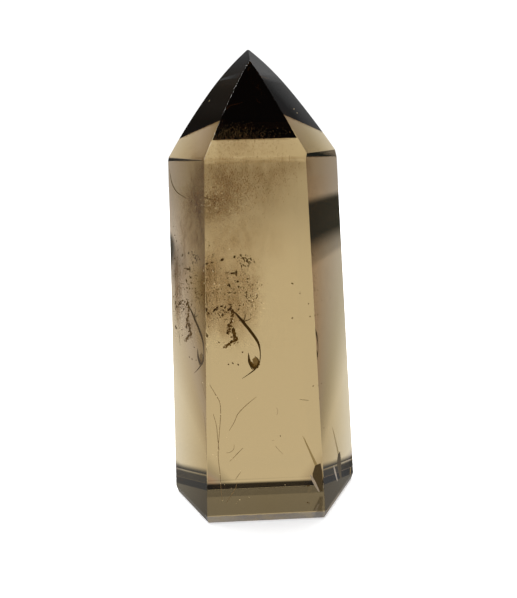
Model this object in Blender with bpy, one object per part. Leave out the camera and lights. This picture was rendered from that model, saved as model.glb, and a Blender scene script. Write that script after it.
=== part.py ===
# Smoky quartz tower: one crystal, ground to a six-sided prism with a softly rolled point.
# Units are metres, +Z is up, and the origin is the middle of the face it stands on.
# The crystal is cut out of a block one facet at a time, the way a lapidary grinds it.
import math
from typing import NamedTuple

import bmesh
import bpy
from mathutils import Vector

# Driving dimensions, in millimetres and degrees
HEIGHT = 72.5
TURN = 0.7  # the whole hexagon's turn about Z
CHAMFER_HEIGHT = 1.4  # a steep chamfer runs round the base
CHAMFER_DEPTH = 0.35
BLUNT = 0.15  # how much the worn point has lost
POINT_X = -1.2  # the point stands left of the middle of the base
POINT_Y = 0.0

# A tip facet's fall is measured down from the point and its reach out from it, both as shares of
# the way to the shoulder. A blunter crest facet runs from the point down to a (fall, reach) share.
FRONT_CREST = (0.16, 0.21)
BACK_CREST = (0.19, 0.305)
NO_CREST = (0.0, 0.0)
ROLL_STRIPS = 5

# The front tip facet is flat and starts in front of the point, which leaves a short ridge above it.
FRONT_LEDGE = 0.26
FRONT_KNEE_FALL = 0.8
FRONT_KNEE_REACH = 0.855

MM = 0.001
MERGE = 1e-6  # metres
NAME = "smoky_quartz_tower"


def crested(crest):
    """(fall, reach) shares of a flat tip facet with a crest above it."""
    return [(0.0, 0.0), crest, (1.0, 1.0)]


def rolled(crest, roll):
    """The same for a facet that rolls evenly from its crest to the shoulder. The roll is how much
    flatter it starts there than a flat facet would be."""
    crest_fall, crest_reach = crest
    profile = [(0.0, 0.0)] if crest_fall > 0 else []
    for strip in range(ROLL_STRIPS + 1):
        along = strip / ROLL_STRIPS
        bowed = roll * along - (roll - 1) * along**2
        profile.append((crest_fall + (1 - crest_fall) * along, crest_reach + (1 - crest_reach) * bowed))
    return profile


LEDGED = [(0.0, FRONT_LEDGE), (FRONT_KNEE_FALL, FRONT_KNEE_REACH), (1.0, 1.0)]


class Side(NamedTuple):
    """One side of the prism and the tip facet above it."""

    azimuth: float  # the way it faces, anticlockwise from +X
    reach: float  # from the origin to the side at the base
    lean: float  # inwards as it rises
    shoulder: float  # height at which the tip facet starts
    profile: list


SIDES = (
    Side(azimuth=-90, reach=9.06, lean=-1.4, shoulder=57.4, profile=LEDGED),
    Side(azimuth=-30, reach=12.44, lean=2.05, shoulder=58.1, profile=crested(FRONT_CREST)),
    Side(azimuth=21, reach=15.89, lean=4.86, shoulder=57.0, profile=rolled(BACK_CREST, 1.32)),
    Side(azimuth=90, reach=8.99, lean=-1.5, shoulder=56.45, profile=rolled(NO_CREST, 1.07)),
    Side(azimuth=156, reach=14.91, lean=2.53, shoulder=57.1, profile=rolled(BACK_CREST, 1.28)),
    Side(azimuth=210, reach=13.22, lean=1.2, shoulder=57.55, profile=rolled(FRONT_CREST, 1.08)),
)


def clear_scene():
    for obj in list(bpy.data.objects):
        bpy.data.objects.remove(obj, do_unlink=True)


def outward(side):
    """Level unit vector that points away from the axis, square to the side."""
    angle = math.radians(side.azimuth + TURN)
    return Vector((math.cos(angle), math.sin(angle), 0.0))


def reach_at(side, height):
    return side.reach - math.tan(math.radians(side.lean)) * height


def block():
    """The rough block: as high as the tower, and wider than any side reaches."""
    bm = bmesh.new()
    bmesh.ops.create_cube(bm, size=1.0)
    width = 3 * max(side.reach for side in SIDES)
    bmesh.ops.scale(bm, vec=Vector((width, width, HEIGHT)) * MM, verts=bm.verts)
    bmesh.ops.translate(bm, vec=Vector((0.0, 0.0, HEIGHT / 2)) * MM, verts=bm.verts)
    return bm


def grind(bm, point, normal):
    """Removes what lies beyond a plane, and closes the new facet. The point is in millimetres."""
    cut = bmesh.ops.bisect_plane(
        bm,
        geom=bm.verts[:] + bm.edges[:] + bm.faces[:],
        dist=MERGE / 10,
        plane_co=point * MM,
        plane_no=normal,
        clear_outer=True,
    )
    rim = [edge for edge in cut["geom_cut"] if isinstance(edge, bmesh.types.BMEdge)]
    bmesh.ops.edgeloop_fill(bm, edges=rim)


def grind_side(bm, side):
    out = outward(side)
    lean = math.radians(side.lean)
    grind(bm, out * side.reach, out * math.cos(lean) + Vector((0.0, 0.0, math.sin(lean))))


def grind_base_chamfer(bm, side):
    out = outward(side)
    lower_edge = out * (side.reach - CHAMFER_DEPTH)
    grind(bm, lower_edge, out * CHAMFER_HEIGHT - Vector((0.0, 0.0, CHAMFER_DEPTH)))


def grind_tip(bm, side):
    """The tip facet above a side, in level strips from the shoulder up to the point."""
    out = outward(side)
    point = Vector((POINT_X, POINT_Y, HEIGHT + BLUNT))
    whole_fall = point.z - side.shoulder
    whole_reach = reach_at(side, side.shoulder) - point.dot(out)
    steps = [(fall * whole_fall, reach * whole_reach) for fall, reach in side.profile]
    for (upper_fall, upper_reach), (lower_fall, lower_reach) in zip(steps, steps[1:]):
        lower_edge = point + out * lower_reach - Vector((0.0, 0.0, lower_fall))
        rise = Vector((0.0, 0.0, lower_reach - upper_reach))
        grind(bm, lower_edge, out * (lower_fall - upper_fall) + rise)


def smoky_quartz():
    material = bpy.data.materials.new("smoky_quartz")
    material.use_nodes = True
    shader = material.node_tree.nodes["Principled BSDF"]
    shader.inputs["Base Color"].default_value = (0.43, 0.31, 0.16, 1.0)
    shader.inputs["Metallic"].default_value = 0.0
    shader.inputs["Roughness"].default_value = 0.03
    shader.inputs["IOR"].default_value = 1.544
    shader.inputs["Transmission Weight"].default_value = 1.0
    material.diffuse_color = (0.43, 0.31, 0.16, 1.0)
    return material


def tower():
    bm = block()
    for side in SIDES:
        grind_side(bm, side)
    for side in SIDES:
        grind_base_chamfer(bm, side)
    for side in SIDES:
        grind_tip(bm, side)
    bmesh.ops.remove_doubles(bm, verts=bm.verts, dist=MERGE)
    bmesh.ops.recalc_face_normals(bm, faces=bm.faces)
    mesh = bpy.data.meshes.new(NAME)
    bm.to_mesh(mesh)
    bm.free()
    mesh.shade_flat()
    mesh.materials.append(smoky_quartz())
    return bpy.data.objects.new(NAME, mesh)


clear_scene()
collection = bpy.data.collections.new(NAME)
bpy.context.scene.collection.children.link(collection)
collection.objects.link(tower())
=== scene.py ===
import math
import random

import bmesh
import bpy
from mathutils import Matrix, Vector, noise


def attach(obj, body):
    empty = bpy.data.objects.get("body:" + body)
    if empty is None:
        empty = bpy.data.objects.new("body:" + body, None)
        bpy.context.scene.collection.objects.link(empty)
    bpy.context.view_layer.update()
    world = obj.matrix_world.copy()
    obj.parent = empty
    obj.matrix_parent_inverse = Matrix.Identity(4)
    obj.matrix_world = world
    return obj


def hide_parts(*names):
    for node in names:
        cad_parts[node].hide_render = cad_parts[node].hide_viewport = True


# Smoky quartz tower: a polished crystal point with its veils, specks and healed fractures.
# Sizes are in millimetres, +Z is up and the front side faces -Y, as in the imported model.

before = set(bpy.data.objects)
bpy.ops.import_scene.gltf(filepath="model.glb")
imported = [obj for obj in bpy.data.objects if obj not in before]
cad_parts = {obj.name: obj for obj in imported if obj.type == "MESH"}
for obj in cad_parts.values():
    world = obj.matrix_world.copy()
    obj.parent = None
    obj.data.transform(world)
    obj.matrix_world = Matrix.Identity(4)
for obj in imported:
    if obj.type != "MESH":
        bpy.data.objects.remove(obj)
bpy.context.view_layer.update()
mm = 0.001
print("frame loaded")


def linear(hexColour):  # sRGB hex to the linear RGBA that the shaders take
    channels = [int(hexColour[i:i + 2], 16) / 255 for i in (1, 3, 5)]
    return [c / 12.92 if c <= 0.04045 else ((c + 0.055) / 1.055) ** 2.4 for c in channels] + [1.0]


def addNode(tree, kind, settings=None, links=None):
    node = tree.nodes.new(kind)
    for key, value in (settings or {}).items():
        if isinstance(key, str) and hasattr(node, key):
            setattr(node, key, value)
        else:
            node.inputs[key].default_value = value
    for key, socket in (links or {}).items():
        tree.links.new(socket, node.inputs[key])
    return node


def setStops(ramp, stops):  # stops are (position, hex colour or brightness)
    points = ramp.color_ramp.elements
    stops = list(stops)
    while len(points) < len(stops):
        points.new(0.5)
    for point, (position, value) in zip(points, stops):
        point.position = position
        point.color = linear(value) if isinstance(value, str) else (value, value, value, 1)


def newMaterial(name):
    material = bpy.data.materials.new(name)
    material.use_nodes = True
    material.node_tree.nodes.clear()
    return material, material.node_tree


def finishPiece(name, bm, material):
    mesh = bpy.data.meshes.new(name)
    bm.to_mesh(mesh)
    bm.free()
    mesh.materials.append(material)
    piece = bpy.data.objects.new(name, mesh)
    bpy.context.scene.collection.objects.link(piece)
    return piece


# Camera, from the photograph's outline: a little lower than the point, looking down at the prism
camera = {
    "place": (-3.03, -98.08, 61.82),
    "yaw": 1.444,  # degrees to the right of +Y
    "pitch": 15.332,  # degrees down
    "roll": -1.405,
    "lens": 38.0,
}


def makeCamera():
    data = bpy.data.cameras.new("camera")
    data.lens = camera["lens"]
    data.clip_start = 0.001
    data.clip_end = 20.0
    shot = bpy.data.objects.new("camera", data)
    turn = Matrix.Rotation(math.radians(-camera["yaw"]), 4, "Z")
    tilt = Matrix.Rotation(math.radians(90 - camera["pitch"]), 4, "X")
    roll = Matrix.Rotation(math.radians(camera["roll"]), 4, "Z")
    shot.matrix_world = Matrix.Translation(Vector(camera["place"]) * mm) @ turn @ tilt @ roll
    bpy.context.scene.collection.objects.link(shot)
    bpy.context.scene.camera = shot


# The crystal is ground from a block one facet at a time, as a lapidary does it
crystal = {
    "height": 72.5,
    "turn": 0.7,  # degrees, the whole hexagon about Z
    "chamferHeight": 1.4,
    "chamferDepth": 0.35,
    "blunt": 0.15,
    "point": (-1.2, 0.0),
    "frontCrest": (0.16, 0.21),  # fall and reach shares of the blunter crest facets
    "backCrest": (0.19, 0.305),
    "noCrest": (0.0, 0.0),
    "frontLedge": 0.26,
    "frontKnee": (0.8, 0.855),
    "rollStrips": 14,
    "softShare": (0.72, 0.2),  # how much of the crest and of the facet below it rolls into the other
    "softStrips": 3,  # on a rolled facet the crest rolls into this many strips instead
    "softSteps": 6,
    "blockWidth": 48,  # the rough block, wider than the stone
    "edgeWidth": 0.08,  # the polished arris along each edge
    "secondTouch": 0.4,  # a finer arris on both sides of it, as a share of its width
    "sharpAbove": 9.0,  # degrees between facets that get an arris
    "smoothBelow": 4,  # degrees between strips that read as one rolled facet
    "cutTolerance": 1e-5,
    "mergeDistance": 1e-7,  # metres
}


def softened(crest, below):  # a polished crest rolls over into the facet under it
    corner = Vector(crystal[crest])
    start = corner * (1 - crystal["softShare"][0])
    end = Vector(below)
    steps = crystal["softSteps"]
    arc = []
    for step in range(steps + 1):
        share = step / steps
        arc.append(tuple(start.lerp(corner, share).lerp(corner.lerp(end, share), share)))
    return [(0.0, 0.0)] + arc


def rolled(crest, roll):
    crestFall, crestReach = crystal[crest]
    profile = []
    for strip in range(crystal["rollStrips"] + 1):
        along = strip / crystal["rollStrips"]
        bowed = roll * along - (roll - 1) * along ** 2
        profile.append((crestFall + (1 - crestFall) * along, crestReach + (1 - crestReach) * bowed))
    last = crystal["softStrips"]
    return softened(crest, profile[last]) + profile[last + 1:] if crestFall > 0 else profile


def crested(crest):
    below = Vector(crystal[crest]).lerp(Vector((1, 1)), crystal["softShare"][1])
    return softened(crest, below) + [(1.0, 1.0)]


ledged = [(0.0, crystal["frontLedge"]), crystal["frontKnee"], (1.0, 1.0)]
sides = [
    {"azimuth": -90, "reach": 9.06, "lean": -1.4, "shoulder": 57.4, "profile": ledged},
    {"azimuth": -30, "reach": 12.44, "lean": 2.05, "shoulder": 58.1, "profile": crested("frontCrest")},
    {"azimuth": 21, "reach": 15.89, "lean": 4.86, "shoulder": 57.0, "profile": rolled("backCrest", 1.32)},
    {"azimuth": 90, "reach": 8.99, "lean": -1.5, "shoulder": 56.45, "profile": rolled("noCrest", 1.07)},
    {"azimuth": 156, "reach": 14.91, "lean": 2.53, "shoulder": 57.1, "profile": rolled("backCrest", 1.28)},
    {"azimuth": 210, "reach": 13.22, "lean": 1.2, "shoulder": 57.55, "profile": rolled("frontCrest", 1.08)},
]


def outward(side):
    angle = math.radians(side["azimuth"] + crystal["turn"])
    return Vector((math.cos(angle), math.sin(angle), 0.0))


def reachAt(side, height):
    return side["reach"] - math.tan(math.radians(side["lean"])) * height


def grind(bm, point, normal):  # takes off what lies beyond a plane and closes the new facet
    cut = bmesh.ops.bisect_plane(
        bm, geom=bm.verts[:] + bm.edges[:] + bm.faces[:], dist=crystal["cutTolerance"],
        plane_co=point, plane_no=normal, clear_outer=True)
    rim = [edge for edge in cut["geom_cut"] if isinstance(edge, bmesh.types.BMEdge)]
    bmesh.ops.edgeloop_fill(bm, edges=rim)


facets = []  # (point, outward normal) of every facet of the stone


def cutFacet(bm, point, normal):
    facets.append((Vector(point), normal.normalized()))
    grind(bm, point, normal)


def grindTip(bm, side):
    out = outward(side)
    point = Vector((*crystal["point"], crystal["height"] + crystal["blunt"]))
    wholeFall = point.z - side["shoulder"]
    wholeReach = reachAt(side, side["shoulder"]) - point.dot(out)
    steps = [(fall * wholeFall, reach * wholeReach) for fall, reach in side["profile"]]
    for (upperFall, upperReach), (lowerFall, lowerReach) in zip(steps, steps[1:]):
        lowerEdge = point + out * lowerReach - Vector((0, 0, lowerFall))
        cutFacet(bm, lowerEdge, out * (lowerFall - upperFall) + Vector((0, 0, lowerReach - upperReach)))


def breakEdges(bm, width):  # one light touch of the wheel along every sharp edge
    bm.normal_update()
    cuts = []
    for edge in bm.edges:
        if edge.is_manifold and math.degrees(edge.calc_face_angle()) > crystal["sharpAbove"]:
            normal = (edge.link_faces[0].normal + edge.link_faces[1].normal).normalized()
            depth = width / 2 * math.tan(edge.calc_face_angle() / 2)
            middle = (edge.verts[0].co + edge.verts[1].co) / 2
            cuts.append((middle - normal * depth, normal))
    for point, normal in cuts:
        grind(bm, point, normal)


def makeCrystal(material):
    bm = bmesh.new()
    bmesh.ops.create_cube(bm, size=1.0)
    bmesh.ops.scale(bm, vec=(crystal["blockWidth"], crystal["blockWidth"], crystal["height"]), verts=bm.verts)
    bmesh.ops.translate(bm, vec=(0, 0, crystal["height"] / 2), verts=bm.verts)
    for side in sides:
        out = outward(side)
        lean = math.radians(side["lean"])
        cutFacet(bm, out * side["reach"], out * math.cos(lean) + Vector((0, 0, math.sin(lean))))
    for side in sides:
        out = outward(side)
        cutFacet(bm, out * (side["reach"] - crystal["chamferDepth"]),
                 out * crystal["chamferHeight"] - Vector((0, 0, crystal["chamferDepth"])))
    for side in sides:
        grindTip(bm, side)
    breakEdges(bm, crystal["edgeWidth"])
    breakEdges(bm, crystal["edgeWidth"] * crystal["secondTouch"])
    bmesh.ops.scale(bm, vec=(mm, mm, mm), verts=bm.verts)
    bmesh.ops.remove_doubles(bm, verts=bm.verts, dist=crystal["mergeDistance"])
    bmesh.ops.recalc_face_normals(bm, faces=bm.faces)
    piece = finishPiece("polished_crystal", bm, material)
    piece.data.shade_smooth()
    piece.data.set_sharp_from_angle(angle=math.radians(crystal["smoothBelow"]))
    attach(piece, "root")
    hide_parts("smoky_quartz_tower")


# Smoky quartz, ground flat and polished: clear brown, with faint waves left by the wheel.
# The chamfer along the foot of the front is scuffed, which gives it a dull grey finish, and a faint painted
# glow on it stands in for the light that this band catches.
quartz = {
    "refraction": 1.544,
    "tint": "#cbb569",
    "absorption": 105.0,
    "waveLength": 6.0,
    "waveHeight": 0.1,
    "waveStrength": 0.02,
    "scuffBelow": 1.37,  # the chamfer's height, less half an arris
    "scuffInFrontOf": -8.5,
    "scuffGrain": 1.5,
    "scuffPatches": (0.3, 0.7),  # of the noise, from the least dulled patch to the most
    "scuffShare": (0.495, 0.825),  # how much of the surface is dulled there
    "scuffRoughness": 0.7,
    "scuffColour": "#c4c6cc",
    "scuffPaintedGlowColour": "#d2daec",
    "scuffPaintedGlow": 0.07,
}


def smoothFade(start, end, low, high):  # settings of a Map Range node that eases from low to high
    return {"interpolation_type": "SMOOTHSTEP", "From Min": start, "From Max": end,
            "To Min": low, "To Max": high}


def polishedQuartz():
    material, tree = newMaterial("polished_smoky_quartz")
    place = addNode(tree, "ShaderNodeTexCoord").outputs["Object"]
    wave = addNode(tree, "ShaderNodeTexNoise", {"Scale": 1 / (quartz["waveLength"] * mm), "Detail": 2.0},
                   {"Vector": place})
    bump = addNode(tree, "ShaderNodeBump", {
        "Strength": quartz["waveStrength"], "Distance": quartz["waveHeight"] * mm},
        {"Height": wave.outputs["Fac"]})
    shader = addNode(tree, "ShaderNodeBsdfPrincipled", {
        "Base Color": linear("#ffffff"), "Metallic": 0.0, "Roughness": 0.0, "IOR": quartz["refraction"],
        "Transmission Weight": 1.0}, {"Normal": bump.outputs["Normal"]})
    parts = addNode(tree, "ShaderNodeSeparateXYZ", links={0: place})
    low = addNode(tree, "ShaderNodeMath", {"operation": "LESS_THAN", 1: quartz["scuffBelow"] * mm},
                  {0: parts.outputs["Z"]})
    front = addNode(tree, "ShaderNodeMath", {"operation": "LESS_THAN", 1: quartz["scuffInFrontOf"] * mm},
                    {0: parts.outputs["Y"]})
    grain = addNode(tree, "ShaderNodeTexNoise", {"Scale": 1 / (quartz["scuffGrain"] * mm), "Detail": 3.0},
                    {"Vector": place})
    patchy = addNode(tree, "ShaderNodeMapRange", smoothFade(*quartz["scuffPatches"], *quartz["scuffShare"]),
                     {"Value": grain.outputs["Fac"]})
    scuffed = addNode(tree, "ShaderNodeMath", {"operation": "MULTIPLY"},
                      {0: patchy.outputs["Result"], 1: low.outputs["Value"]})
    share = addNode(tree, "ShaderNodeMath", {"operation": "MULTIPLY"},
                    {0: scuffed.outputs["Value"], 1: front.outputs["Value"]})
    # The scuffed patches: rough and grey, with a faint painted glow for the light the band catches
    scuff = addNode(tree, "ShaderNodeBsdfPrincipled", {
        "Base Color": linear(quartz["scuffColour"]), "Roughness": quartz["scuffRoughness"],
        "Emission Color": linear(quartz["scuffPaintedGlowColour"]), "Emission Strength": quartz["scuffPaintedGlow"]})
    surface = addNode(tree, "ShaderNodeMixShader", links={
        0: share.outputs["Value"], 1: shader.outputs["BSDF"], 2: scuff.outputs["BSDF"]})
    body = addNode(tree, "ShaderNodeVolumeAbsorption", {
        "Color": linear(quartz["tint"]), "Density": quartz["absorption"]})
    addNode(tree, "ShaderNodeOutputMaterial", links={
        "Surface": surface.outputs["Shader"], "Volume": body.outputs["Volume"]})
    return material


# Every crack lies on a sheet that waves in and out, and some sheets lie along the front tip facet
sheetWaves = {
    "size": 1.6,  # mm in and out, for a ripple of 1
    "long": 0.4,  # waves to the mm
    "short": 1.1,
    "shortShare": 0.5,
    "shortSeed": 5.3,
    "riseFrom": 57.8,  # the height at which a sheet with a rise has the depth that it is given
}
veilTop = (56.9, 57.3)  # the veils thin out between these heights
innerMargin = 0.5  # mm that every fibre, grain and glint keeps from the faces
# Inclusions: healed cracks full of tiny iron-stained fibres, seen as brown veils.
# Each cloud is (x, z, spread across, spread up, how many) on one sheet.
veils = {
    "seed": 11,
    "fibreLength": (0.1, 0.3),
    "fibreRadius": (0.014, 0.036),
    "lean": 26.0,  # degrees from upright
    "scatter": 0.3,  # how far a fibre lies off its sheet, as a share of the ripple
    "sheets": [
        {"name": "brow_veil", "depth": -7.5, "ripple": 0.5, "clouds": [
            (-5.2, 52.6, 2.2, 1.9, 1500), (-1.2, 54.4, 2.4, 1.6, 750), (-5.4, 55.4, 2.0, 1.2, 450),
            (3.0, 55.8, 1.6, 1.0, 200)]},
        {"name": "upper_veil", "depth": 0.0, "ripple": 1.2, "clouds": [
            (-6.4, 51.0, 1.4, 1.3, 1000)]},
        {"name": "lower_veil", "depth": -6.5, "ripple": 0.4, "clouds": [
            (-4.8, 38.8, 2.0, 2.6, 350), (-1.9, 38.4, 0.9, 2.4, 200)]},
        {"name": "edge_veil", "depth": 8.0, "ripple": 0.2, "clouds": [
            (-8.5, 39.0, 0.5, 2.0, 200), (-8.5, 33.6, 0.5, 2.4, 220)]},
        {"name": "ledge_veil", "depth": -9.4, "ripple": 0.1, "rise": 0.498, "top": 63.0, "clouds": [
            (-3.8, 58.9, 1.9, 1.1, 330), (0.8, 58.9, 2.0, 1.1, 200)]},
        {"name": "ledge_dust", "dull": True, "depth": -9.4, "ripple": 0.1, "rise": 0.498, "top": 63.0,
         "clouds": [
            (-4.4, 60.7, 1.6, 0.5, 260), (-1.5, 60.5, 2.4, 0.5, 260), (-3.5, 61.3, 1.8, 0.6, 130)]},
    ],
}
# Between the fibres the same cracks are too fine to resolve: a smooth haze, thicker in its patches.
# Each cloud is (x, z, spread across, spread up, thickness), and a span is (left, right, low, high).
hazes = {
    "cell": 0.2,
    "rim": 0.004,
    "thinnest": 0.02,  # a cloud ends where it gets thinner than this
    "unevenness": 0.5,
    "patches": (1.1, 0.55),  # to the mm, across and up
    "patchSeed": 3.7,
    "finePatches": (3, 2.4),  # how many times finer
    "fineShare": 0.6,
    "fineSeed": 8.1,
    "sheets": [
        {"name": "brow_haze", "depth": -7.5, "ripple": 0.4, "span": (-9.0, 7.5, 45.0, 58.0), "clouds": [
            (-6.6, 56.0, 2.0, 1.6, 0.55), (-3.0, 55.2, 2.2, 2.2, 0.4), (1.1, 55.2, 2.1, 2.2, 0.46),
            (4.2, 56.6, 1.3, 1.0, 0.36), (0.2, 51.6, 2.6, 1.8, 0.2), (-7.7, 50.1, 0.6, 1.4, 0.55)]},
        {"name": "shoulder_haze", "depth": 9.65, "ripple": 0.0, "top": (58.0, 59.0),
         "span": (-7.0, 6.0, 56.43, 57.1), "clouds": [
            (-5.0, 56.8, 2.6, 2.0, 0.42), (1.2, 56.8, 2.6, 2.0, 0.44)]},
        {"name": "upper_haze", "depth": 0.0, "ripple": 1.2, "span": (-11.0, 1.0, 44.0, 57.0), "clouds": [
            (-6.3, 50.8, 1.3, 1.4, 0.66), (-4.4, 51.8, 1.4, 1.3, 0.25), (-5.2, 54.0, 1.1, 1.2, 0.42)]},
        {"name": "middle_haze", "depth": 5.0, "ripple": 0.8, "span": (-10.5, 6.0, 27.0, 54.0), "clouds": [
            (-6.8, 45.8, 1.5, 2.6, 0.36), (-3.2, 45.6, 1.8, 2.8, 0.42), (0.8, 45.2, 2.0, 3.0, 0.2),
            (-7.9, 40.2, 0.9, 2.3, 0.3), (-6.6, 31.4, 1.1, 1.5, 0.35)]},
        {"name": "ledge_haze", "depth": -9.4, "ripple": 0.05, "rise": 0.498, "top": (61.5, 62.0),
         "span": (-6.0, 5.0, 57.75, 60.6), "clouds": [
            (-4.2, 58.9, 1.9, 1.6, 0.25), (-0.4, 58.9, 2.2, 1.6, 0.23), (3.0, 58.9, 1.2, 1.5, 0.12)]},
        {"name": "edge_haze", "depth": 8.2, "ripple": 0.1, "span": (-10.2, -7.2, 27.0, 43.0), "clouds": [
            (-8.8, 39.6, 0.5, 1.8, 0.8), (-8.9, 36.4, 0.5, 1.8, 0.4), (-8.95, 32.6, 0.5, 2.2, 0.9),
            (-7.5, 36.6, 0.6, 3.2, 0.3)]},
        {"name": "lower_haze", "depth": -6.5, "ripple": 0.3, "span": (-10.0, 3.0, 27.0, 48.0), "clouds": [
            (-6.5, 39.6, 1.0, 3.4, 0.6), (-3.9, 39.2, 1.5, 3.0, 0.62), (-1.6, 39.6, 1.1, 2.6, 0.24),
            (-4.6, 34.4, 1.3, 2.6, 0.6), (-2.2, 34.6, 0.9, 1.6, 0.35)]},
    ],
}


def isInside(point):
    return point.z > 2 * innerMargin and all(
        (place - point).dot(normal) > innerMargin for place, normal in facets)


def placed(point, long, wide, thin, lean, turn=0.0):
    size = Matrix.Diagonal((wide, thin, long, 1))
    pose = Matrix.Rotation(math.radians(turn), 4, "Z") @ Matrix.Rotation(math.radians(lean), 4, "Y")
    return Matrix.Translation(point) @ pose @ size


def finishInclusion(name, bm, material):
    bmesh.ops.scale(bm, vec=(mm, mm, mm), verts=bm.verts)
    bmesh.ops.recalc_face_normals(bm, faces=bm.faces)
    piece = finishPiece(name, bm, material)
    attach(piece, "root")
    return piece


def sheetDepth(sheet, x, z):
    depth = sheet["depth"]
    long = sheetWaves["long"]
    short = sheetWaves["short"]
    wave = noise.noise(Vector((x * long, depth, z * long)))
    shortWave = noise.noise(Vector((x * short, depth + sheetWaves["shortSeed"], z * short)))
    wave += sheetWaves["shortShare"] * shortWave
    rise = sheet.get("rise", 0.0) * (z - sheetWaves["riseFrom"])
    return depth + sheetWaves["size"] * sheet["ripple"] * wave + rise


def makeVeil(sheet, material):
    draw = random.Random(veils["seed"] + len(sheet["name"]))
    scatter = veils["scatter"]
    made = 0
    bm = bmesh.new()
    for x, z, acrossSpread, upSpread, count in sheet["clouds"]:
        batch = bmesh.new()  # adding a fibre gets slower as a mesh grows, so each cloud has its own
        for _ in range(count):
            px = draw.gauss(x, acrossSpread)
            pz = draw.gauss(z, upSpread)
            depth = sheetDepth(sheet, px, pz) + sheet["ripple"] * draw.uniform(-scatter, scatter)
            point = Vector((px, depth, pz))
            length = draw.uniform(*veils["fibreLength"])
            radius = draw.uniform(*veils["fibreRadius"])
            lean = draw.gauss(0, veils["lean"])
            turn = draw.uniform(0, 360)
            if isInside(point) and pz < sheet.get("top", veilTop[1]):
                bmesh.ops.create_cone(batch, cap_ends=True, segments=3, radius1=1, radius2=0, depth=1,
                                      matrix=placed(point, length, radius, radius, lean, turn))
                made += 1
        mesh = bpy.data.meshes.new("batch")
        batch.to_mesh(mesh)
        batch.free()
        bm.from_mesh(mesh)
        bpy.data.meshes.remove(mesh)
    print(sheet["name"], made, "fibres")
    finishInclusion(sheet["name"], bm, material)


def hazeThickness(sheet, x, z):
    total = sum(thickness * math.exp(-((x - cx) / acrossSpread) ** 2 / 2 - ((z - cz) / upSpread) ** 2 / 2)
                for cx, cz, acrossSpread, upSpread, thickness in sheet["clouds"])
    start, end = sheet.get("top", veilTop)
    total *= min(1.0, max(0.0, (end - z) / (end - start)))
    across, up = hazes["patches"]
    patches = noise.noise(Vector((x * across, sheet["depth"] + hazes["patchSeed"], z * up)))
    fineAcross, fineUp = hazes["finePatches"]
    patches += hazes["fineShare"] * noise.noise(
        Vector((x * across * fineAcross, sheet["depth"] + hazes["fineSeed"], z * up * fineUp)))
    return max(total * (1 + hazes["unevenness"] * patches) - hazes["thinnest"], 0.0) + hazes["rim"]


def makeHaze(sheet, material):  # a closed sheet: one grid for its near side and a copy for its far side
    left, right, low, high = sheet["span"]
    bm = bmesh.new()
    bmesh.ops.create_grid(bm, x_segments=round((right - left) / hazes["cell"]),
                          y_segments=round((high - low) / hazes["cell"]), size=0.5)
    near = list(bm.verts)
    far = bmesh.ops.extrude_face_region(bm, geom=bm.faces[:], use_keep_orig=True)["geom"]
    far = [item for item in far if isinstance(item, bmesh.types.BMVert)]
    for verts, way in ((near, -0.5), (far, 0.5)):
        for vert in verts:
            x = left + (vert.co.x + 0.5) * (right - left)
            z = low + (vert.co.y + 0.5) * (high - low)
            vert.co = (x, sheetDepth(sheet, x, z) + way * hazeThickness(sheet, x, z), z)
    finishInclusion(sheet["name"], bm, material).data.shade_smooth()


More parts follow.
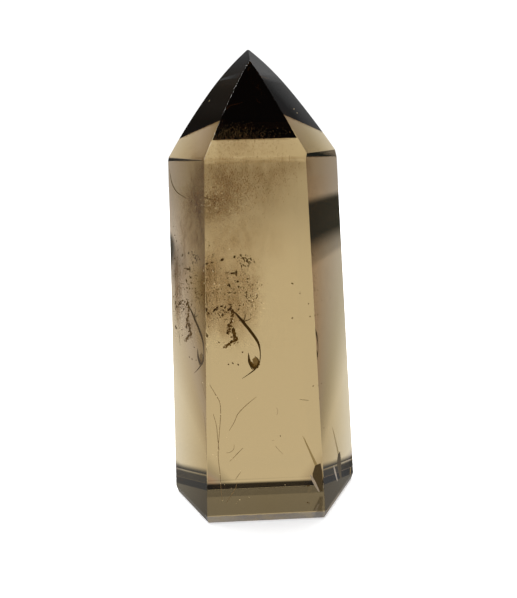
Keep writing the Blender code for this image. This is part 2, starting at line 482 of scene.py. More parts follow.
# Specks just inside the back of the stone
specks = {
    "depth": 9.0,
    "seed": 23,
    # (x, z, length, thickness, degrees from upright)
    "single": [(-6.3, 41.3, 0.75, 0.36, 50), (-4.3, 41.7, 0.55, 0.32, 30), (-3.3, 41.9, 0.5, 0.26, -40),
               (-2.9, 41.4, 0.6, 0.24, -35), (-2.3, 41.0, 0.5, 0.3, 20), (-2.0, 40.6, 0.7, 0.2, -15),
               (-1.7, 41.4, 0.4, 0.14, 55), (-3.4, 40.6, 0.4, 0.14, -15), (-3.2, 40.1, 0.6, 0.2, -20),
               (-1.1, 40.7, 0.35, 0.12, -30), (-8.9, 40.7, 0.7, 0.22, 85), (-8.0, 40.9, 0.4, 0.2, 60),
               (-4.7, 39.0, 1.1, 0.3, 88), (-5.6, 39.1, 0.9, 0.14, 85), (-4.1, 39.0, 1.2, 0.3, 0),
               (-3.9, 37.6, 0.5, 0.34, 60), (-3.8, 36.7, 0.45, 0.3, 10), (-2.3, 38.0, 0.3, 0.24, 40),
               (-5.3, 37.0, 0.8, 0.3, -25), (-4.4, 35.7, 0.5, 0.2, 50), (-2.6, 35.0, 0.3, 0.24, 0),
               (-2.2, 34.3, 0.3, 0.26, 30), (-9.2, 33.0, 0.8, 0.34, 10), (-8.9, 32.4, 0.6, 0.26, -50),
               (-7.9, 32.9, 0.9, 0.3, 40), (-7.4, 33.3, 0.6, 0.24, 55), (-6.7, 33.5, 0.6, 0.3, 70),
               (-6.6, 32.0, 0.6, 0.24, 20), (-6.1, 33.3, 0.6, 0.26, 35), (-5.2, 33.2, 0.9, 0.3, 15),
               (-9.4, 28.6, 0.9, 0.4, -30), (-5.2, 23.5, 0.5, 0.18, -40), (-4.3, 23.2, 0.45, 0.22, -20),
               (-3.5, 25.4, 0.3, 0.26, 0), (-4.95, 29.4, 0.9, 0.42, 15), (-4.75, 28.4, 1.0, 0.5, -25),
               (-4.55, 27.6, 0.7, 0.5, 70), (-5.3, 27.3, 0.8, 0.42, 50), (-5.9, 26.8, 0.7, 0.36, 60),
               (-5.7, 30.2, 0.7, 0.34, 0), (-5.9, 28.9, 0.6, 0.4, 10), (-3.15, 30.7, 0.5, 0.42, -30),
               (-5.5, 32.9, 0.7, 0.36, 40), (-4.9, 32.7, 0.6, 0.4, -30)],
    # (x, z, spread across, spread up, how many)
    "fields": [(-8.2, 36.5, 1.0, 4.0, 40), (-5.0, 36.5, 2.0, 3.0, 50), (-2.0, 35.5, 0.9, 2.2, 50),
               (-7.3, 32.4, 1.6, 0.6, 40), (-2.4, 41.1, 0.65, 0.5, 34)],
    "fieldLength": (0.12, 0.42),
    "fieldThickness": (0.08, 0.19),
    "fieldDepth": (-0.8, 0.1),
    "fieldLean": 45,
    # (x, y, z)
    "scattered": [(4.2, -7.0, 39.4), (4.3, -7.0, 39.35), (6.9, -6.5, 34.1), (7.4, -6.0, 22.7),
                  (7.3, 4.0, 1.7), (7.05, 4.0, 1.6), (-10.5, 0.0, 44.5), (2.5, 5.0, 11.0),
                  (5.6, -3.0, 37.2), (6.9, -3.0, 35.5), (9.2, -1.5, 35.3), (4.4, -3.0, 33.3),
                  (-10.6, 3.0, 31.7), (-10.1, 3.0, 29.7), (-5.8, 3.0, 24.7)],
    "scatteredLength": (0.2, 0.35),
    "scatteredThickness": (0.14, 0.22),
    "scatteredLean": (-80, 80),
    "swell": 1.25,  # the light that bends round a speck makes it look thicker
    "flatness": 0.8,  # from front to back, as a share of its thickness
}


def addSpeck(bm, point, length, thickness, lean):
    thickness *= specks["swell"]
    bmesh.ops.create_icosphere(bm, subdivisions=1, radius=0.5,
                               matrix=placed(point, length, thickness, thickness * specks["flatness"], lean))


def makeSpecks(material):
    draw = random.Random(specks["seed"])
    bm = bmesh.new()
    for x, z, length, thickness, lean in specks["single"]:
        addSpeck(bm, Vector((x, specks["depth"], z)), length, thickness, lean)
    for x, z, acrossSpread, upSpread, count in specks["fields"]:
        for _ in range(count):
            point = Vector((
                draw.gauss(x, acrossSpread), specks["depth"] + draw.uniform(*specks["fieldDepth"]),
                draw.gauss(z, upSpread)))
            size = draw.uniform(*specks["fieldLength"]), draw.uniform(*specks["fieldThickness"])
            lean = draw.gauss(0, specks["fieldLean"])
            if isInside(point):
                addSpeck(bm, point, *size, lean)
    for point in specks["scattered"]:
        addSpeck(bm, Vector(point), draw.uniform(*specks["scatteredLength"]),
                 draw.uniform(*specks["scatteredThickness"]), draw.uniform(*specks["scatteredLean"]))
    finishInclusion("mineral_specks", bm, material)


# Open cracks, drawn as their dark edges in painted shade, as dark tubes where light turns away: (x, y, z,
# half thickness) along each one
cracks = {
    "curvedEdge": [(-4.6, 9.0, 32.4, 0.12), (-3.9, 9.0, 31.6, 0.2), (-3.2, 9.0, 30.6, 0.27),
                   (-2.0, 8.9, 29.0, 0.27), (-1.3, 8.9, 27.9, 0.28), (-0.75, 8.9, 26.9, 0.22),
                   (-0.5, 8.9, 25.5, 0.1), (-0.55, 8.9, 23.8, 0.08), (-1.1, 8.9, 22.7, 0.14),
                   (-2.0, 8.9, 21.8, 0.11), (-3.7, 8.9, 20.7, 0.03)],
    "sideBranch": [(-3.2, 9.0, 30.7, 0.12), (-2.9, 9.0, 31.4, 0.08), (-2.7, 9.0, 32.3, 0.03)],
    "lowBranch": [(-3.1, 9.0, 30.8, 0.08), (-2.2, 9.0, 31.0, 0.08), (-1.9, 9.0, 31.3, 0.03)],
    "foldEdge": [(-2.5, 8.8, 25.3, 0.05), (-2.6, 8.8, 24.2, 0.09), (-2.45, 8.8, 23.3, 0.13),
                 (-2.0, 8.8, 22.4, 0.09)],
    "leafRim": [(-2.45, 8.75, 25.0, 0.05), (-2.4, 8.75, 24.2, 0.14), (-2.2, 8.75, 23.4, 0.22),
                (-1.75, 8.75, 22.6, 0.26), (-1.1, 8.75, 22.7, 0.22), (-0.65, 8.75, 23.7, 0.12)],
    "foldInner": [(-1.5, 8.8, 24.7, 0.03), (-0.95, 8.8, 24.3, 0.09), (-0.8, 8.8, 23.4, 0.1),
                  (-1.3, 8.8, 22.7, 0.06)],
    "veilRim": [(-11.4, 4.0, 55.6, 0.04), (-11.2, 4.0, 53.9, 0.11), (-10.3, 4.0, 52.7, 0.12),
                (-9.1, 4.0, 51.8, 0.1), (-6.9, 3.5, 51.2, 0.03)],
    "leftStreak": [(-9.1, 6.0, 37.0, 0.02), (-9.0, 6.0, 35.6, 0.07), (-8.9, 6.0, 34.0, 0.02)],
    "leftStreakLow": [(-9.6, 6.5, 28.6, 0.02), (-9.5, 6.5, 27.4, 0.06), (-9.3, 6.5, 26.0, 0.02)],
    "frontDash": [(5.3, -6.0, 20.5, 0.03), (6.0, -6.0, 20.4, 0.05), (6.7, -6.0, 20.3, 0.03)],
}
# The cracked corner low on the right has part healed, so its edges are paler
softCracks = {
    "cornerUpper": [(6.2, 4.0, 11.2, 0.02), (7.3, 4.0, 8.5, 0.08), (8.4, 4.0, 5.5, 0.09)],
    "cornerLower": [(6.6, 4.1, 10.6, 0.02), (7.8, 4.1, 7.6, 0.08), (8.8, 4.1, 5.4, 0.08)],
    "cornerBand": [(6.4, 4.05, 11.0, 0.03), (7.5, 4.05, 8.1, 0.12), (8.5, 4.05, 5.6, 0.16)],
}
# Stained cracks inside the curved one, broken up into grains along each (x, z, half width)
stains = {
    "depth": 8.8,
    "seed": 41,
    "perMm": 16,
    "spread": 0.6,  # of the half width
    "scatter": (-0.2, 0.2),  # off that depth
    "grain": (0.2, 0.46),
    "slimness": (0.4, 0.7),
    "lean": (-60, 60),
    "lines": {
        "jagged": [(-4.75, 29.4, 0.12), (-4.95, 28.4, 0.45), (-4.4, 27.6, 0.22), (-5.2, 27.2, 0.3),
                   (-6.4, 26.4, 0.22)],
        "upperJag": [(-4.9, 32.6, 0.22), (-5.1, 31.2, 0.24), (-5.5, 29.8, 0.34), (-5.8, 28.8, 0.2)],
        "leafFoot": [(-2.1, 23.7, 0.1), (-1.7, 22.8, 0.18), (-1.1, 22.9, 0.2), (-0.7, 23.7, 0.14)],
    },
}
# Healed cracks near the front, seen as fine threads: (x, y, z, half thickness) along each one
threads = {
    "longWisp": [(-8.7, -6.0, 23.7, 0.03), (-7.6, -6.0, 21.5, 0.06), (-7.1, -6.0, 20.5, 0.05),
                 (-7.1, -6.0, 18.5, 0.06), (-7.4, -6.0, 15.8, 0.05), (-7.8, -6.0, 12.3, 0.06),
                 (-7.8, -6.0, 10.2, 0.05), (-7.6, -6.0, 8.0, 0.05), (-7.6, -6.0, 5.4, 0.04),
                 (-7.5, -6.0, 3.1, 0.03)],
    "besideWisp": [(-8.3, -6.0, 18.6, 0.03), (-7.8, -6.0, 16.8, 0.05), (-7.8, -6.0, 14.1, 0.05),
                   (-7.6, -6.0, 12.3, 0.03)],
    "rising": [(-1.5, -6.0, 21.2, 0.03), (-2.5, -6.0, 20.4, 0.05), (-3.6, -6.0, 19.4, 0.06),
               (-4.6, -6.0, 18.3, 0.05), (-4.9, -6.0, 17.2, 0.05), (-5.9, -6.0, 15.6, 0.03)],
    "lowRising": [(-3.8, -6.0, 12.5, 0.03), (-4.3, -6.0, 12.0, 0.05), (-5.1, -6.0, 11.1, 0.05),
                  (-6.0, -6.0, 10.2, 0.03)],
    "shortRising": [(-4.3, -6.0, 8.2, 0.03), (-4.8, -6.0, 7.5, 0.05), (-5.2, -6.0, 6.9, 0.03)],
    "cornerRising": [(-4.9, -6.0, 6.3, 0.03), (-5.2, -6.0, 5.3, 0.05), (-5.6, -6.0, 4.6, 0.06),
                     (-6.2, -6.0, 3.7, 0.05), (-6.8, -6.0, 2.7, 0.03)],
    "hook": [(-5.2, -6.0, 13.1, 0.03), (-5.1, -6.0, 11.8, 0.05), (-6.5, -6.0, 11.7, 0.03)],
    "scratch": [(1.3, -8.5, 13.4, 0.02), (1.9, -8.5, 12.5, 0.04), (2.5, -8.5, 11.9, 0.02)],
    "scratchEnd": [(0.8, -8.5, 14.4, 0.02), (1.1, -8.5, 14.4, 0.03)],
    "scratchHook": [(1.6, -8.5, 19.9, 0.02), (1.9, -8.5, 19.4, 0.04), (1.6, -8.5, 18.7, 0.02)],
}
# The one bright edge of the cracked corner: a pale chip, its brightness a painted highlight that glows
cornerStroke = {"stroke": [(7.4, 2.0, 4.4, 0.1), (7.8, 2.0, 3.6, 0.25), (8.25, 2.0, 2.6, 0.26),
                           (8.9, 2.0, 1.2, 0.1)]}
# Thin folded pieces of crack, as outlines of (x, z) at one depth
folds = {
    "thickness": 0.06,
    "leaf": (8.85, [(-1.9, 24.1), (-1.4, 24.5), (-0.8, 24.1), (-0.7, 23.3), (-1.3, 22.5), (-2.0, 22.2),
                    (-1.7, 23.2)]),
    "corner": (4.0, [(8.35, 5.5), (9.3, 5.9), (9.55, 4.5), (9.65, 2.3), (9.7, 0.5), (9.2, 0.5), (8.5, 2.0),
                     (7.95, 3.3), (7.9, 3.9)]),
}


def makeLines(name, lines, material):
    curve = bpy.data.curves.new(name, "CURVE")
    curve.dimensions = "3D"
    curve.bevel_depth = mm
    curve.bevel_resolution = 1
    curve.use_fill_caps = True
    curve.resolution_u = 4
    for points in lines.values():
        spline = curve.splines.new("NURBS")
        spline.points.add(len(points) - 1)
        spline.order_u = 3
        spline.use_endpoint_u = True
        for point, (x, y, z, radius) in zip(spline.points, points):
            point.co = (x * mm, y * mm, z * mm, 1)
            point.radius = radius
    curve.materials.append(material)
    piece = bpy.data.objects.new(name, curve)
    bpy.context.scene.collection.objects.link(piece)
    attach(piece, "root")


def makeStains(material):
    draw = random.Random(stains["seed"])
    bm = bmesh.new()
    for points in stains["lines"].values():
        for start, end in zip(points, points[1:]):
            length = math.dist(start[:2], end[:2])
            for _ in range(round(length * stains["perMm"])):
                x, z, halfWidth = Vector(start).lerp(Vector(end), draw.random())
                spread = halfWidth * stains["spread"]
                point = Vector((draw.gauss(x, spread), stains["depth"] + draw.uniform(*stains["scatter"]),
                                draw.gauss(z, spread)))
                size = draw.uniform(*stains["grain"])
                addSpeck(bm, point, size, size * draw.uniform(*stains["slimness"]),
                         draw.uniform(*stains["lean"]))
    finishInclusion("crack_stains", bm, material)


def makeFold(name, material):
    depth, outline = folds[name]
    bm = bmesh.new()
    face = bm.faces.new([bm.verts.new((x, depth, z)) for x, z in outline])
    solid = bmesh.ops.extrude_face_region(bm, geom=[face], use_keep_orig=True)
    lifted = [item for item in solid["geom"] if isinstance(item, bmesh.types.BMVert)]
    bmesh.ops.translate(bm, vec=(0, folds["thickness"], 0), verts=lifted)
    finishInclusion(name + "_fold", bm, material)


# Painted highlights where an open crack would face the light: small glowing plates, and fields of finer ones
glints = {
    "seed": 5,
    "depth": -7.0,
    # (x, z)
    "single": [(-4.8, 44.8), (-7.2, 39.7), (-6.1, 38.8), (-7.3, 41.6), (-1.2, 37.8), (-1.5, 36.3),
               (-1.4, 36.0), (0.0, 35.7), (-0.1, 36.5), (-1.1, 38.0), (-4.7, 33.9), (-1.7, 37.0),
               (-5.8, 55.1), (-6.1, 53.0), (-6.8, 53.4), (-4.8, 47.7), (-4.6, 47.3), (-7.3, 51.2),
               (-5.0, 52.4), (-4.4, 21.4), (-8.7, 23.9), (-7.6, 21.8), (-7.1, 20.8), (-7.1, 18.8),
               (-7.8, 12.6), (-7.6, 8.3), (-7.4, 3.5), (-8.6, 11.8), (-3.1, 3.9), (-4.6, 3.5), (2.8, 5.9)],
    "size": (0.05, 0.09),
    "slimness": (2.0, 4.5),  # times as long as thick
    "lean": (-50, 60),
    # (x, y, z, spread across, spread up, how many)
    "fields": [(-6.0, -6.5, 38.0, 2.0, 4.0, 22), (-5.0, -7.6, 52.2, 2.0, 1.8, 60),
               (-6.4, -6.5, 10.0, 1.6, 5.0, 22), (-1.0, -6.5, 37.0, 0.7, 1.2, 14)],
    "fineSize": (0.03, 0.06),
    "fineSlimness": (1.5, 4),
    "fineLean": (-60, 60),
    "fineScatter": (-0.5, 0.5),
    # nicks just under the tip facets, real marks drawn in the same glowing material as the painted
    # highlights, and the size of one: length, thickness, degrees from upright
    "nicks": [(5.09, -2.76, 63.97), (5.51, -2.86, 63.4), (-6.88, -0.9, 65.43)],
    "nick": (0.4, 0.07, 25),
}


def makeGlints(material):
    draw = random.Random(glints["seed"])
    bm = bmesh.new()
    for x, z in glints["single"]:
        size = draw.uniform(*glints["size"])
        addSpeck(bm, Vector((x, glints["depth"], z)), size * draw.uniform(*glints["slimness"]), size,
                 draw.uniform(*glints["lean"]))
    for x, y, z, acrossSpread, upSpread, count in glints["fields"]:
        for _ in range(count):
            point = Vector((draw.gauss(x, acrossSpread), y + draw.uniform(*glints["fineScatter"]),
                            draw.gauss(z, upSpread)))
            size = draw.uniform(*glints["fineSize"])
            if isInside(point):
                addSpeck(bm, point, size * draw.uniform(*glints["fineSlimness"]), size,
                         draw.uniform(*glints["fineLean"]))
    for point in glints["nicks"]:
        addSpeck(bm, Vector(point), *glints["nick"])
    finishInclusion("painted_crack_glints", bm, material)


# What the inclusions are made of: two tones in a mottle of this grain in mm, a roughness, and a painted glow
# that stands in for the light which the clear stone leads into it, so each inclusion glows though no lamp
# lights it. An open face can be one way: this share of the light passes that comes off a mirroring face of
# the stone, such as the base.
minerals = {
    # Iron-stained healed cracks: rusty and dull, so a veil looks like fine brown dust
    "iron_stained_fibres": {"tones": ("#6e4826", "#9c7040"), "grain": 1.5, "roughness": 0.7, "glow": 0.25},
    "dull_iron_dust": {"tones": ("#2a200e", "#564220"), "grain": 1.5, "roughness": 0.8, "glow": 0.35},
    # Goethite needles and grains: near black, with a brown bloom that is mostly a painted glow
    "goethite_specks": {"tones": ("#1c1608", "#4a3a14"), "grain": 0.3, "roughness": 0.6, "glow": 1.5},
    # Edges of open cracks, in painted shade: light turns away from them, so they are drawn dark brown
    "crack_edge_shadow": {"tones": ("#1a1406", "#463814"), "grain": 0.8, "roughness": 0.6, "glow": 1.3},
    # Edges of a crack that has part healed: a soft pale brown
    "part_healed_crack": {"tones": ("#a89a7c", "#b8ac8c"), "grain": 0.5, "roughness": 0.6, "glow": 0.85},
    # Rust in an open crack: dark brown grains
    "iron_stained_crack": {"tones": ("#2c220c", "#5c4a20"), "grain": 0.4, "roughness": 0.7, "glow": 1.6},
    # Faces of open cracks: dull brown plates, darker than the stone beside them
    "open_crack_face": {
        "tones": ("#3c362a", "#5e5440"), "grain": 0.5, "roughness": 0.5, "glow": 0.8, "oneWay": 0.6},
    "folded_crack_face": {"tones": ("#5c4e3a", "#a09070"), "grain": 0.5, "roughness": 0.5, "glow": 0.9},
    # Healed cracks that scatter the light: pale dull threads
    "healed_crack_threads": {"tones": ("#a88a60", "#c9a878"), "grain": 0.6, "roughness": 0.6, "glow": 0.15},
    # Painted highlights: pale glowing points where crack faces would mirror the light, and the one bright
    # edge of the cracked corner
    "crack_painted_glints": {"tones": ("#fff0d2", "#ecd4a4"), "grain": 0.2, "roughness": 0.2, "glow": 0.75},
    "corner_chip_painted_highlight": {
        "tones": ("#fff6e6", "#e8e4ee"), "grain": 0.3, "roughness": 0.3, "glow": 0.5, "oneWay": 0.9},
}
mottleSpan = (0.35, 0.65)  # of the noise, from the first tone to the second


def mineral(name):
    look = minerals[name]
    material, tree = newMaterial(name)
    place = addNode(tree, "ShaderNodeTexCoord").outputs["Object"]
    mottle = addNode(tree, "ShaderNodeTexNoise", {"Scale": 1 / (look["grain"] * mm), "Detail": 3.0},
                     {"Vector": place})
    tone = addNode(tree, "ShaderNodeValToRGB", links={"Fac": mottle.outputs["Fac"]})
    setStops(tone, zip(mottleSpan, look["tones"]))
    shader = addNode(tree, "ShaderNodeBsdfPrincipled", {
        "Roughness": look["roughness"], "Emission Color": linear(look["tones"][1]),
        "Emission Strength": look["glow"]}, {"Base Color": tone.outputs["Color"]})
    surface = shader.outputs["BSDF"]
    if "oneWay" in look:
        path = addNode(tree, "ShaderNodeLightPath")
        share = addNode(tree, "ShaderNodeMath", {"operation": "MULTIPLY", 1: look["oneWay"]},
                        {0: path.outputs["Is Reflection Ray"]})
        clear = addNode(tree, "ShaderNodeBsdfTransparent")
        surface = addNode(tree, "ShaderNodeMixShader", links={
            0: share.outputs["Value"], 1: surface, 2: clear.outputs["BSDF"]}).outputs["Shader"]
    addNode(tree, "ShaderNodeOutputMaterial", links={"Surface": surface})
    return material


# Cracks too fine to see: a faint brown smoke, which bends no light of its own
smoke = {"refraction": 1.0, "tint": "#baa27c", "absorption": 1250.0}


def thinHaze():
    material, tree = newMaterial("fine_iron_stained_haze")
    shader = addNode(tree, "ShaderNodeBsdfPrincipled", {
        "Base Color": linear("#ffffff"), "Roughness": 0.0, "IOR": smoke["refraction"],
        "Transmission Weight": 1.0})
    body = addNode(tree, "ShaderNodeVolumeAbsorption", {
        "Color": linear(smoke["tint"]), "Density": smoke["absorption"]})
    addNode(tree, "ShaderNodeOutputMaterial", links={
        "Surface": shader.outputs["BSDF"], "Volume": body.outputs["Volume"]})
    return material


# Stage: a white table and a white sweep behind the stone, in a dim room
stage = {
    "floorRadius": 600.0,
    "gap": 0.03,
    "paper": "#f4f4f4",
    "white": 1.08,  # radiance of the sweep straight behind
    "tableNear": 1.15,  # the table's glow against that, near the stone: a painted pool of light
    "horizon": 0.88,  # and where it meets the sweep
    "tableFade": (150, 550),  # mm from the stone
    "seenFade": (120, 450, 0.6, 1.0),  # the same for the light that the camera sees the table by
    "skyline": (-0.05, 0.1),  # sine of the height at which the table's tone gives way to the sweep's
    "ceiling": (0.6, 0.85, 1.0, 0.4),  # and at which the room darkens overhead
    "paintedContactShadow": (16.4, 10.9, 1.14, 0.03),  # painted contact shadow under the stone: half lengths, fade, brightness
    # darker patches in the table's glow, seen only through the stone: place, turn, half length, half width,
    # where it has faded, brightness
    "darkPatches": [(-190.0, 245.0, 104.5, 160.0, 25.0, 2.04, 0.04),
                    (-133.7, 177.0, 104.5, 140.0, 11.0, 1.7, 0.62),
                    (141.5, 213.8, 54.2, 85.0, 10.0, 1.22, 0.1),
                    (117.0, 181.0, 54.2, 50.0, 11.0, 1.7, 0.66)],
    # Level direction, in degrees to the right of straight behind, and the brightness or colour there:
    # what shines through the stone, low down and higher up
    "around": [(-180, 0.7), (-120, 0.6), (-80, 0.38), (-62, 0.38), (-44, "#b4b0b8"), (-38.5, "#d7c7ca"),
               (-36, "#cfcdda"), (-33, 0.66), (-26, 1.0), (26, 1.0), (33, "#e6e2e0"), (36, "#dcdaec"),
               (38.3, "#bcb2a4"), (39.5, "#a89e8e"), (44, "#a89c8c"), (49, 0.12), (62, 0.1), (85, 0.3),
               (120, 0.6), (180, 0.7)],
    "above": [(-180, 0.2), (-75, 0.15), (-37, 0.12), (-20, 0.3), (0, 0.36), (20, 0.33), (60, 0.12),
              (180, 0.2)],
    # and what the polished faces mirror, low down and higher up
    "mirroredAround": [(-180, "#56483c"), (-120, 0.2), (-80, "#949088"), (-60, "#949088"), (-54, "#7c786c"),
                       (-38, 0.5), (-20, 0.6), (20, 0.6), (38, 0.5), (44, 0.4), (49, "#545446"),
                       (62, "#50504a"), (85, 0.2), (120, 0.2), (180, "#56483c")],
    "mirroredAbove": [(-180, 0.05), (-75, 0.12), (-50, 0.1), (-44, "#3c3834"), (-42.4, "#3c3834"),
                      (-40.5, "#3c3630"), (-38.3, "#4c463f"), (-35.8, "#4b443c"), (-33, "#5c544a"),
                      (-26, 0.15), (-15, 0.25), (0, 0.3), (15, 0.3), (24, 0.33), (31, 0.42), (33.2, 0.45),
                      (34.6, 0.09), (36, 0.06), (39, 0.08), (44, 0.12), (60, 0.12), (180, 0.05)],
    "parallax": 0.967,  # the far table lies nearer the middle than the level direction it is seen in
    "twist": (44.6, 0.42),  # the mirrored room leans: degrees per unit of height, and the list's own height
    "lowToHigh": (0.36, 0.56),  # sine of the height at which the lower list gives way to the upper one
    "mirroredLowToHigh": (0.1, 0.34),
}


# The light of one of those lists, by the level direction of a vector
def addSurround(tree, way, levels, twist=(0.0, 0.0), parallax=1.0):
    parts = addNode(tree, "ShaderNodeSeparateXYZ", links={0: way})
    angle = addNode(tree, "ShaderNodeMath", {"operation": "ARCTAN2"},
                    {0: parts.outputs["X"], 1: parts.outputs["Y"]})
    perHeight, height = math.radians(twist[0]), twist[1]
    leant = addNode(tree, "ShaderNodeMath", {"operation": "MULTIPLY_ADD", 1: perHeight},
                    {0: parts.outputs["Z"], 2: angle.outputs["Value"]})
    share = addNode(tree, "ShaderNodeMath", {
        "operation": "MULTIPLY_ADD", 1: 0.5 * parallax / math.pi,
        2: 0.5 - perHeight * height * 0.5 / math.pi}, {0: leant.outputs["Value"]})
    ramp = addNode(tree, "ShaderNodeValToRGB", links={"Fac": share.outputs["Value"]})
    setStops(ramp, [(degrees / 360 + 0.5, value) for degrees, value in levels])
    return ramp.outputs["Color"]


multiply = {"data_type": "RGBA", "blend_type": "MULTIPLY", 0: 1.0}  # settings of a Mix node


def dimmed(tree, light, value, fade):  # a light that fades in or out as a value rises
    share = addNode(tree, "ShaderNodeMapRange", smoothFade(*fade), {"Value": value})
    return addNode(tree, "ShaderNodeMix", multiply, {6: light, 7: share.outputs["Result"]}).outputs[2]


def addDistance(tree, place, stretch):  # from the middle, with x and y stretched
    scaled = addNode(tree, "ShaderNodeVectorMath", {"operation": "MULTIPLY", 1: (*stretch, 0)}, {0: place})
    return addNode(tree, "ShaderNodeVectorMath", {"operation": "LENGTH"},
                   {0: scaled.outputs["Vector"]}).outputs["Value"]


def addRoom(tree, way, through, mirrored, isMirrored, twist=(0.0, 0.0), parallax=1.0):
    return addNode(tree, "ShaderNodeMix", {"data_type": "RGBA"}, {
        0: isMirrored, 6: addSurround(tree, way, stage[through], parallax=parallax),
        7: addSurround(tree, way, stage[mirrored], twist)}).outputs[2]


def makeFloor():
    bm = bmesh.new()
    bmesh.ops.create_circle(bm, cap_ends=True, segments=96, radius=stage["floorRadius"] * mm)
    bmesh.ops.translate(bm, vec=(0, 0, -stage["gap"] * mm), verts=bm.verts)
    material, tree = newMaterial("white_table")
    place = addNode(tree, "ShaderNodeTexCoord").outputs["Object"]
    path = addNode(tree, "ShaderNodeLightPath")
    distance = addDistance(tree, place, (1 / mm, 1 / mm))
    # Seen through the stone, the table is a painted glow: the room's light by direction, brighter near the
    # stone
    room = addRoom(tree, place, "around", "mirroredAround", path.outputs["Is Reflection Ray"])
    glow = dimmed(tree, room, distance, (*stage["tableFade"], stage["tableNear"], stage["horizon"]))
    # A painted contact shadow darkens the table right under the stone, except in what its own faces mirror
    halfWidth, halfDepth, fade, shade = stage["paintedContactShadow"]
    parts = addNode(tree, "ShaderNodeSeparateXYZ", links={0: place})
    across = addNode(tree, "ShaderNodeMath", {"operation": "ABSOLUTE"}, {0: parts.outputs["X"]})
    along = addNode(tree, "ShaderNodeMath", {"operation": "ABSOLUTE"}, {0: parts.outputs["Y"]})
    outside = addNode(tree, "ShaderNodeMath", {"operation": "MULTIPLY", 1: halfDepth / halfWidth},
                      {0: across.outputs["Value"]})
    under = addNode(tree, "ShaderNodeMath", {"operation": "MAXIMUM"},
                    {0: outside.outputs["Value"], 1: along.outputs["Value"]})
    paintedShadow = addNode(tree, "ShaderNodeMapRange", smoothFade(
        halfDepth * mm, halfDepth * fade * mm, shade, 1.0), {"Value": under.outputs["Value"]})
    lifted = addNode(tree, "ShaderNodeMath", {"operation": "MAXIMUM"},
                     {0: paintedShadow.outputs["Result"], 1: path.outputs["Is Reflection Ray"]})
    glow = addNode(tree, "ShaderNodeMix", multiply, {6: glow, 7: lifted.outputs["Value"]}).outputs[2]
    for x, y, turn, halfLength, halfWidth, end, dark in stage["darkPatches"]:
        moved = addNode(tree, "ShaderNodeVectorMath", {"operation": "SUBTRACT", 1: (x * mm, y * mm, 0)},
                        {0: place})
        turned = addNode(tree, "ShaderNodeVectorRotate", {
            "rotation_type": "Z_AXIS", "Angle": -math.radians(turn)}, {"Vector": moved.outputs["Vector"]})
        patch = addDistance(tree, turned.outputs["Vector"], (1 / (halfLength * mm), 1 / (halfWidth * mm)))
        glow = dimmed(tree, glow, patch, (1.0, end, dark, 1.0))
    throughStone = addNode(tree, "ShaderNodeEmission", {"Strength": stage["white"]}, {"Color": glow})
    paper = addNode(tree, "ShaderNodeBsdfDiffuse", {"Color": linear(stage["paper"])})
    brightness = addNode(tree, "ShaderNodeMapRange", smoothFade(*stage["seenFade"]), {"Value": distance})
    lit = addNode(tree, "ShaderNodeEmission", links={"Strength": brightness.outputs["Result"]})
    seen = addNode(tree, "ShaderNodeAddShader", links={0: paper.outputs[0], 1: lit.outputs[0]})
    both = addNode(tree, "ShaderNodeMixShader", links={
        0: path.outputs["Is Camera Ray"], 1: throughStone.outputs[0], 2: seen.outputs[0]})
    addNode(tree, "ShaderNodeOutputMaterial", links={"Surface": both.outputs[0]})
    finishPiece("floor", bm, material)


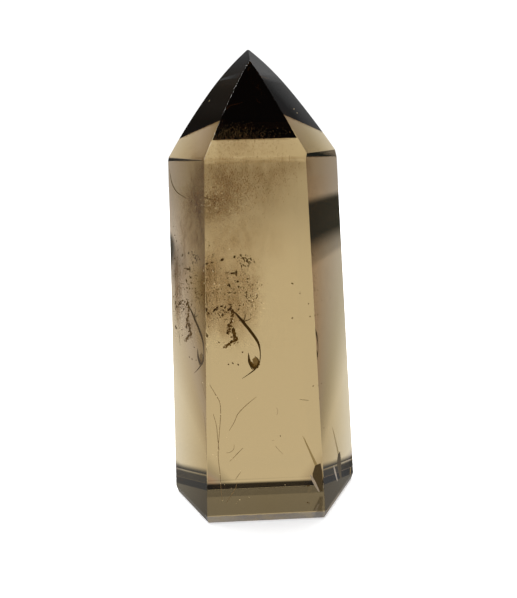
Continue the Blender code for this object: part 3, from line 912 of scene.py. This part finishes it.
def makeWorld():
    world = bpy.data.worlds.new("studio")
    world.use_nodes = True
    tree = world.node_tree
    tree.nodes.clear()
    way = addNode(tree, "ShaderNodeTexCoord").outputs["Generated"]
    height = addNode(tree, "ShaderNodeSeparateXYZ", links={0: way}).outputs["Z"]
    path = addNode(tree, "ShaderNodeLightPath")
    isMirrored = path.outputs["Is Reflection Ray"]
    low = addRoom(tree, way, "around", "mirroredAround", isMirrored, parallax=stage["parallax"])
    high = addRoom(tree, way, "above", "mirroredAbove", isMirrored, stage["twist"])
    throughRise = addNode(tree, "ShaderNodeMapRange", smoothFade(*stage["lowToHigh"], 0.0, 1.0),
                          {"Value": height})
    mirroredRise = addNode(tree, "ShaderNodeMapRange", smoothFade(*stage["mirroredLowToHigh"], 0.0, 1.0),
                           {"Value": height})
    rise = addNode(tree, "ShaderNodeMix", {"data_type": "FLOAT"}, {
        0: isMirrored, 2: throughRise.outputs["Result"], 3: mirroredRise.outputs["Result"]})
    room = addNode(tree, "ShaderNodeMix", {"data_type": "RGBA"}, {0: rise.outputs[0], 6: low, 7: high})
    glow = dimmed(tree, room.outputs[2], height, stage["ceiling"])
    glow = dimmed(tree, glow, height, (*stage["skyline"], stage["horizon"], 1.0))
    seen = addNode(tree, "ShaderNodeMix", {"data_type": "RGBA", 7: linear("#ffffff")},
                   {0: path.outputs["Is Camera Ray"], 6: glow})
    light = addNode(tree, "ShaderNodeBackground", {"Strength": stage["white"]}, {"Color": seen.outputs[2]})
    addNode(tree, "ShaderNodeOutputWorld", links={"Surface": light.outputs["Background"]})
    bpy.context.scene.world = world


# Square lamps that face the middle of the stone. The softbox lights what is dull, and shows in no face.
lamps = {
    "aim": (0, 0, 35),
    "overhead_softbox": {"place": (0, 150, 500), "size": 400, "power": 4.0, "hidden": True},
    "side_lamp": {"place": (-270, -20, 500), "size": 240, "power": 0.8, "hidden": False},
}


def makeLamp(name):
    lamp = lamps[name]
    data = bpy.data.lights.new(name, "AREA")
    data.shape = "RECTANGLE"
    data.size = lamp["size"] * mm
    data.size_y = lamp["size"] * mm
    data.energy = lamp["power"]
    light = bpy.data.objects.new(name, data)
    light.location = Vector(lamp["place"]) * mm
    light.rotation_mode = "QUATERNION"
    light.rotation_quaternion = (Vector(lamps["aim"]) * mm - light.location).to_track_quat("-Z", "Y")
    light.visible_glossy = not lamp["hidden"]
    light.visible_transmission = not lamp["hidden"]
    bpy.context.scene.collection.objects.link(light)


# Light bends and mirrors many times inside the stone
lightPaths = {"max_bounces": 24, "glossy_bounces": 20, "transmission_bounces": 24}

makeCamera()
makeFloor()
makeWorld()
makeLamp("overhead_softbox")
makeLamp("side_lamp")
print("stage ready")

makeCrystal(polishedQuartz())
print("crystal ready")

fibres = mineral("iron_stained_fibres")
dust = mineral("dull_iron_dust")
for sheet in veils["sheets"]:
    makeVeil(sheet, dust if sheet.get("dull") else fibres)
haze = thinHaze()
for sheet in hazes["sheets"]:
    makeHaze(sheet, haze)
makeSpecks(mineral("goethite_specks"))
makeLines("crack_edges", cracks, mineral("crack_edge_shadow"))
makeLines("soft_cracks", softCracks, mineral("part_healed_crack"))
makeStains(mineral("iron_stained_crack"))
makeFold("corner", mineral("open_crack_face"))
makeFold("leaf", mineral("folded_crack_face"))
makeLines("healed_threads", threads, mineral("healed_crack_threads"))
makeGlints(mineral("crack_painted_glints"))
makeLines("corner_stroke", cornerStroke, mineral("corner_chip_painted_highlight"))
print("inclusions ready")

scene = bpy.context.scene
scene.view_settings.view_transform = "Standard"
for setting, bounces in lightPaths.items():
    setattr(scene.cycles, setting, bounces)
